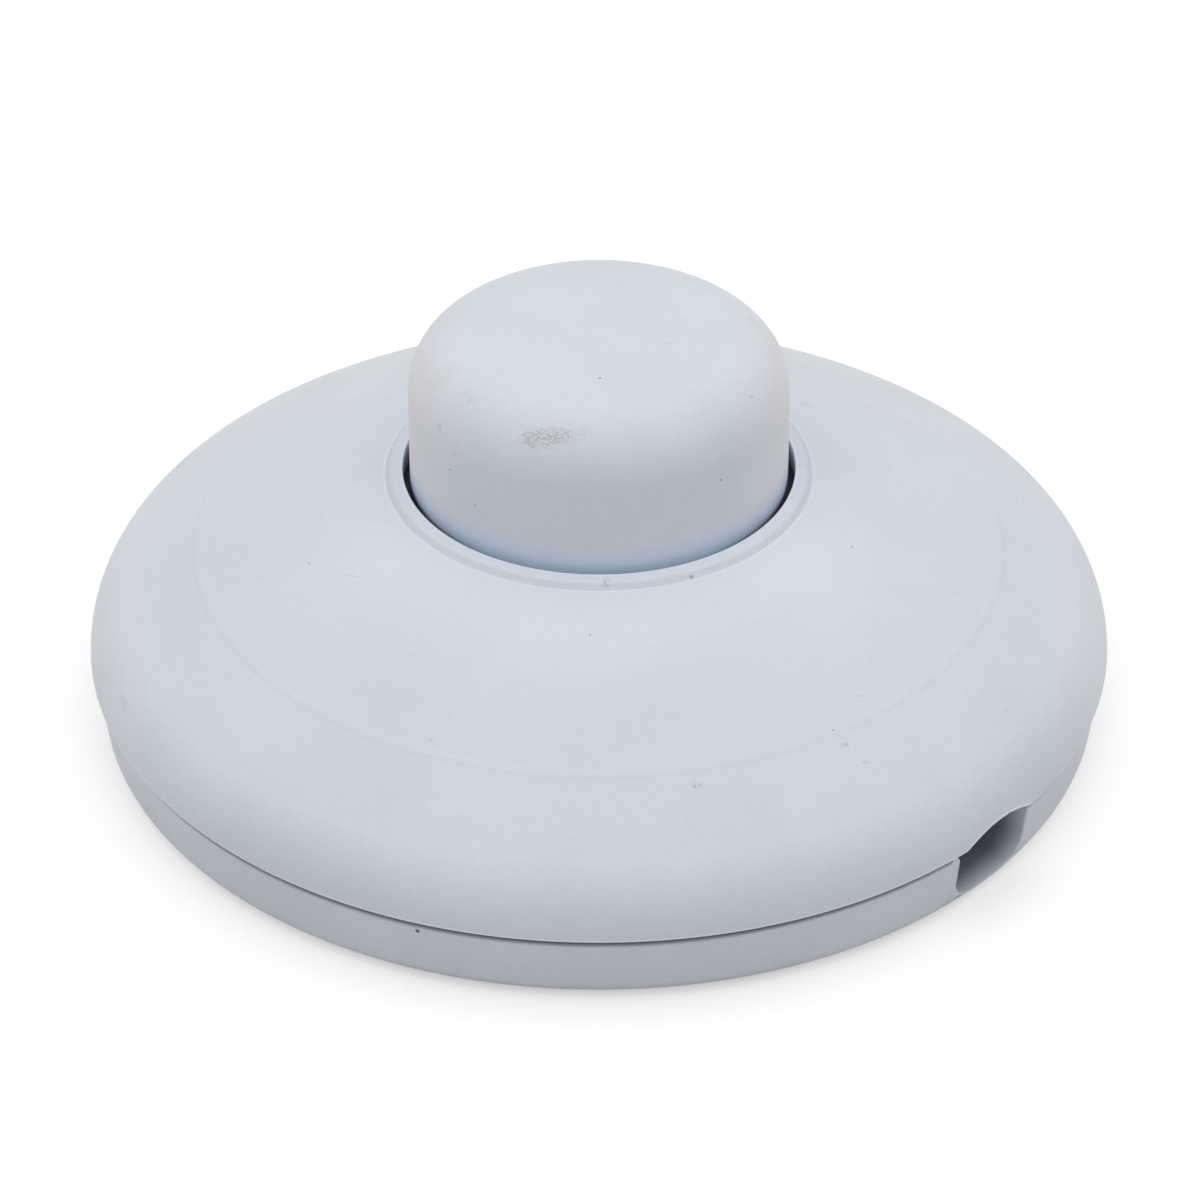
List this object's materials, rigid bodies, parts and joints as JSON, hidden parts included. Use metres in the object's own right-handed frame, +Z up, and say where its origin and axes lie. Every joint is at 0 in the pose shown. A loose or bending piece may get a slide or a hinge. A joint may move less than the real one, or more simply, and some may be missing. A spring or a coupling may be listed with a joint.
{
  "type": "foot switch",
  "caption": "Round floor-standing in-line foot switch: domed white cover with a large central push button, cord mouths front and back, and a ratchet mechanism inside.",
  "frame": {"origin": "centre of the housing on the surface that the feet stand on", "axes": "+Z up through the button, +X towards the cord mouth that the picture shows, +Y completes the right-handed frame"},
  "size_m": [0.0998, 0.1, 0.0415],
  "materials": {
    "white_shell": "fine moulded grain, lightly soiled",
    "white_button": "fine moulded grain, scuffed",
    "mechanism_plastic": "plain moulded",
    "brass": "drawn and stamped",
    "plated_steel": "zinc plated",
    "spring_steel": "drawn wire and strip",
    "rubber": "matte"
  },
  "bodies": {
    "housing": {"base_shell": "white_shell", "top_cover": "white_shell", "switch_body": "mechanism_plastic", "switch_body_screws": "plated_steel", "button_spring": "spring_steel", "detent_spring": "spring_steel", "live_inlet_contact": "brass", "live_outlet_contact": "brass", "live_inlet_screw": "plated_steel", "live_outlet_screw": "plated_steel", "neutral_block": "brass", "neutral_screws": "plated_steel", "earth_block": "brass", "earth_screws": "plated_steel", "inlet_cord_clamp": "mechanism_plastic", "inlet_clamp_screws": "plated_steel", "outlet_cord_clamp": "mechanism_plastic", "outlet_clamp_screws": "plated_steel", "case_screws": "plated_steel", "rubber_feet": "rubber"},
    "button": {"push_button": "white_button", "drive_collar": "mechanism_plastic"},
    "rotor": {"contact_rotor": "mechanism_plastic", "contact_star": "brass"}
  },
  "joints": [
    {"name": "button_press", "type": "slide", "parent": "housing", "child": "button", "axis": [0, 0, -1], "range_m": [0, 0.005], "stiffness_N_per_m": 2000, "springref_m": -0.004, "deforming": ["button_spring"]},
    {"name": "rotor_turn", "type": "hinge", "parent": "housing", "child": "rotor", "pos_m": [0, 0, 0.009], "axis": [0, 0, 1], "range_deg": [0, 45.2], "deforming": ["detent_spring"]}
  ],
  "couplings": [
    {"joint": "rotor_turn", "follows": "button_press", "rad_per_m": 157.08}
  ]
}
